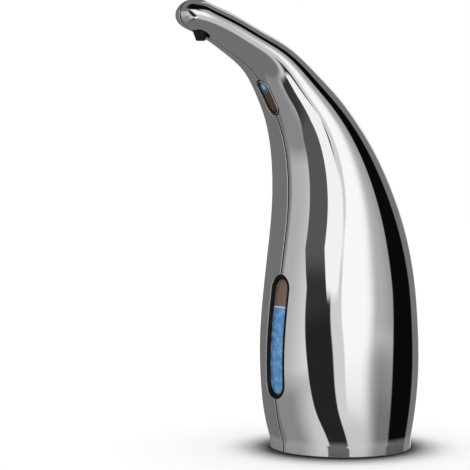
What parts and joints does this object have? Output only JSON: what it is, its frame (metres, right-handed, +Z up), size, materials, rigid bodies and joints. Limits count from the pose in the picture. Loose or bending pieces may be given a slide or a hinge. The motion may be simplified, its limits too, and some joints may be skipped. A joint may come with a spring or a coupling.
{
  "type": "automatic soap dispenser",
  "caption": "Free-standing touchless soap dispenser: a swept pear-shaped body whose neck curves forward to a downward nozzle, with a hand sensor and a tall level window.",
  "frame": {"origin": "centre of the base, on the surface that the dispenser stands on", "axes": "+Z is up; the spout points along -Y; the two halves of the shell meet on the plane X = 0, and +X is on the right of someone who looks along -Y"},
  "size_m": [0.0794, 0.1349, 0.2197],
  "materials": {
    "chrome": "bright mirror plating over moulded plastic",
    "black_plastic": "satin moulded plastic",
    "grey_plastic": "moulded plastic",
    "rubber": "soft matt rubber",
    "clear_window": "clear brownish-grey plastic",
    "sensor_window": "dark brown infrared filter",
    "tank_plastic": "natural translucent plastic",
    "hose": "milky silicone hose",
    "white_plastic": "moulded acetal",
    "steel": "plated steel",
    "nickel": "nickel-plated sheet",
    "circuit_board": "green solder mask",
    "chip_black": "black moulding compound",
    "cell_jacket": "plain shrink sleeve over steel",
    "blue_led": "tinted clear resin",
    "dark_diode": "dark clear resin",
    "lead_red": "red wire cover",
    "lead_black": "black wire cover"
  },
  "bodies": {
    "housing": {"base_plate": "black_plastic", "base_screw_1": "steel", "base_screw_2": "steel", "base_screw_3": "steel", "base_screw_4": "steel", "battery_1": "cell_jacket", "battery_2": "cell_jacket", "battery_3": "cell_jacket", "battery_4": "cell_jacket", "battery_holder": "grey_plastic", "battery_lead_black": "lead_black", "battery_lead_red": "lead_red", "control_board": "circuit_board", "control_chip": "chip_black", "delivery_hose": "hose", "foot_ring": "rubber", "idler_pin": "steel", "ir_emitter": "dark_diode", "ir_receiver": "dark_diode", "left_shell": "chrome", "level_window": "clear_window", "motor_can": "steel", "motor_cap": "black_plastic", "motor_lead_black": "lead_black", "motor_lead_red": "lead_red", "nozzle": "black_plastic", "pump_body": "white_plastic", "pump_cover": "white_plastic", "pump_screw_1": "steel", "pump_screw_2": "steel", "pump_screw_3": "steel", "pump_screw_4": "steel", "right_shell": "chrome", "sensor_bezel": "black_plastic", "sensor_board": "circuit_board", "sensor_cable": "lead_black", "sensor_window": "sensor_window", "soap_tank": "tank_plastic", "status_led": "blue_led", "suction_sleeve": "hose", "tact_switch": "chip_black", "terminal_minus": "nickel", "terminal_plus": "nickel", "top_bridge": "nickel", "window_gasket": "rubber"},
    "battery_cover": {"battery_cover": "black_plastic", "cover_pad": "rubber", "cover_seal": "rubber", "cover_contact_front": "nickel", "cover_contact_rear": "nickel"},
    "filler_cap": {"filler_cap": "chrome", "filler_seal": "rubber"},
    "power_button": {"power_button": "black_plastic", "switch_plunger": "black_plastic"},
    "drive_train": {"drive_gear": "white_plastic", "drive_shaft": "steel"},
    "idler": {"idler_gear": "white_plastic"}
  },
  "joints": [
    {"name": "battery_cover_twist", "type": "hinge", "parent": "housing", "child": "battery_cover", "pos_m": [0, 0, 0.0026], "axis": [0, 0, 1], "range_deg": [0, 40]},
    {"name": "filler_cap_pull", "type": "slide", "parent": "housing", "child": "filler_cap", "axis": [0, 0.9048, 0.4258], "range_m": [0, 0.022]},
    {"name": "power_button_press", "type": "slide", "parent": "housing", "child": "power_button", "axis": [0, -0.9995, 0.0323], "range_m": [0, 0.0005], "stiffness_N_per_m": 600},
    {"name": "pump_spin", "type": "hinge", "parent": "housing", "child": "drive_train", "pos_m": [0.0093, -0.02, 0.01445], "axis": [1, 0, 0], "continuous": true},
    {"name": "idler_spin", "type": "hinge", "parent": "housing", "child": "idler", "pos_m": [0.0093, -0.012, 0.01445], "axis": [1, 0, 0], "continuous": true}
  ],
  "couplings": [
    {"joint": "idler_spin", "follows": "pump_spin", "ratio": -1}
  ]
}
